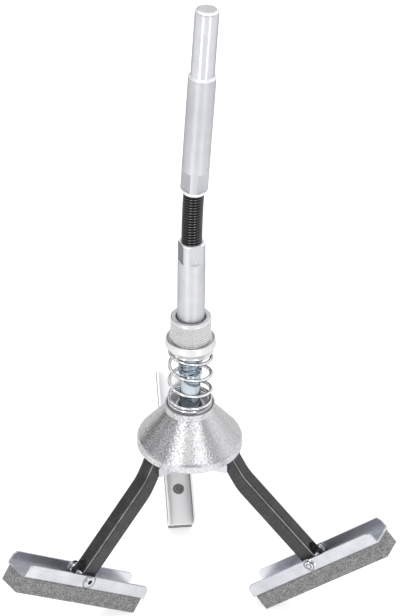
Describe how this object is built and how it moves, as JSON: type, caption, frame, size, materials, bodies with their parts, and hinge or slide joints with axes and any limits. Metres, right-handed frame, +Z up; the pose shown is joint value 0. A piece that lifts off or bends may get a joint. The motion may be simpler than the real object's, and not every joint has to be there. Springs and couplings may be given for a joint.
{
  "type": "cylinder hone",
  "caption": "Cylinder hone: sprung arms under a pressure dish swing abrasive stones out on pivoting holders; flexible drive shank.",
  "frame": {"origin": "on the spindle axis, level with the arm pivots and the lower edge of the pressure dish", "axes": "+Z up the spindle towards the drive shank; one arm points along +Y, away from the viewer"},
  "size_m": [0.2303, 0.1997, 0.3887],
  "materials": {
    "shank_steel": "satin turned steel",
    "black_coil": "black oxide, lightly oiled",
    "core_cable": "steel cable",
    "sleeve_steel": "satin turned steel",
    "thread_steel": "cut thread on bright steel",
    "nut_aluminium": "turned and knurled",
    "spring_zinc": "bright zinc on spring wire",
    "dish_cast": "cast and brushed, with fine radial marks",
    "yoke_zinc": "zinc plated sheet steel",
    "washer_zinc": "zinc plated",
    "end_nut_zinc": "zinc plated",
    "arm_paint": "dark satin enamel on pressed steel",
    "pin_zinc": "zinc plated",
    "holder_zinc": "bright zinc plated sheet steel",
    "rivet_zinc": "bright zinc plated",
    "spacer_zinc": "zinc plated",
    "stone_grit": "bonded abrasive, speckled, matt"
  },
  "bodies": {
    "spindle_body": {"spindle": "thread_steel", "lower_sleeve": "sleeve_steel", "yoke": "yoke_zinc", "yoke_washer": "washer_zinc", "end_nut": "end_nut_zinc", "pivot_pin_left": "pin_zinc", "pivot_pin_right": "pin_zinc", "pivot_pin_back": "pin_zinc"},
    "dish": {"pressure_dish": "dish_cast"},
    "spring": {"tension_spring": "spring_zinc"},
    "nut": {"knurled_nut": "nut_aluminium"},
    "flex": {"flex_coil": "black_coil", "flex_core": "core_cable"},
    "shank": {"drive_shank": "shank_steel"},
    "arm_left": {"arm_left": "arm_paint"},
    "holder_left": {"stone_holder_left": "holder_zinc", "honing_stone_left": "stone_grit", "holder_rivet_left": "rivet_zinc", "rivet_spacers_left": "spacer_zinc"},
    "arm_right": {"arm_right": "arm_paint"},
    "holder_right": {"stone_holder_right": "holder_zinc", "honing_stone_right": "stone_grit", "holder_rivet_right": "rivet_zinc", "rivet_spacers_right": "spacer_zinc"},
    "arm_back": {"arm_back": "arm_paint"},
    "holder_back": {"stone_holder_back": "holder_zinc", "honing_stone_back": "stone_grit", "holder_rivet_back": "rivet_zinc", "rivet_spacers_back": "spacer_zinc"}
  },
  "joints": [
    {"name": "arm_left_swing", "type": "hinge", "parent": "spindle_body", "child": "arm_left", "pos_m": [-0.01299, -0.0075, 0], "axis": [0.5, -0.866, 0], "range_deg": [0, 40], "stiffness_Nm_per_rad": 0.1, "springref_deg": -60.73},
    {"name": "holder_left_tilt", "type": "hinge", "parent": "arm_left", "child": "holder_left", "pos_m": [-0.06799, -0.03926, -0.06263], "axis": [0.5, -0.866, 0], "range_deg": [-88, 0]},
    {"name": "arm_right_swing", "type": "hinge", "parent": "spindle_body", "child": "arm_right", "pos_m": [0.01299, -0.0075, 0], "axis": [0.5, 0.866, 0], "range_deg": [0, 40], "stiffness_Nm_per_rad": 0.1, "springref_deg": -60.73},
    {"name": "holder_right_tilt", "type": "hinge", "parent": "arm_right", "child": "holder_right", "pos_m": [0.07094, -0.04095, -0.05899], "axis": [0.5, 0.866, 0], "range_deg": [-88, 0]},
    {"name": "arm_back_swing", "type": "hinge", "parent": "spindle_body", "child": "arm_back", "pos_m": [0, 0.015, 0], "axis": [-1, 0, 0], "range_deg": [0, 40], "stiffness_Nm_per_rad": 0.1, "springref_deg": -60.73},
    {"name": "holder_back_tilt", "type": "hinge", "parent": "arm_back", "child": "holder_back", "pos_m": [0, 0.07938, -0.06174], "axis": [-1, 0, 0], "range_deg": [-88, 0]},
    {"name": "dish_slide", "type": "slide", "parent": "spindle_body", "child": "dish", "axis": [0, 0, 1], "range_m": [0, 0.0039], "deforming": ["tension_spring"]},
    {"name": "nut_travel", "type": "slide", "parent": "spindle_body", "child": "spring", "axis": [0, 0, 1], "range_m": [-0.01, 0], "deforming": ["tension_spring"]},
    {"name": "nut_turn", "type": "hinge", "parent": "spring", "child": "nut", "pos_m": [0, 0, 0.08], "axis": [0, 0, 1], "range_deg": [-1800, 0]},
    {"name": "flex_bend_side", "type": "hinge", "parent": "spindle_body", "child": "flex", "pos_m": [0, 0, 0.15], "axis": [0, 1, 0], "range_deg": [-20, 20], "stiffness_Nm_per_rad": 2, "deforming": ["flex_coil", "flex_core"]},
    {"name": "flex_bend_front", "type": "hinge", "parent": "flex", "child": "shank", "pos_m": [0.00034, -0.00004, 0.16299], "axis": [1, 0, 0], "range_deg": [-20, 20], "stiffness_Nm_per_rad": 2, "deforming": ["flex_coil", "flex_core"]}
  ],
  "couplings": [
    {"joint": "arm_right_swing", "follows": "arm_left_swing", "ratio": 1},
    {"joint": "arm_back_swing", "follows": "arm_left_swing", "ratio": 1},
    {"joint": "dish_slide", "follows": "arm_left_swing", "m_per_rad": 0.0055},
    {"joint": "holder_left_tilt", "follows": "arm_left_swing", "ratio": -2.2},
    {"joint": "holder_right_tilt", "follows": "arm_left_swing", "ratio": -2.2},
    {"joint": "holder_back_tilt", "follows": "arm_left_swing", "ratio": -2.2},
    {"joint": "nut_turn", "follows": "nut_travel", "rad_per_m": 3141.6}
  ]
}
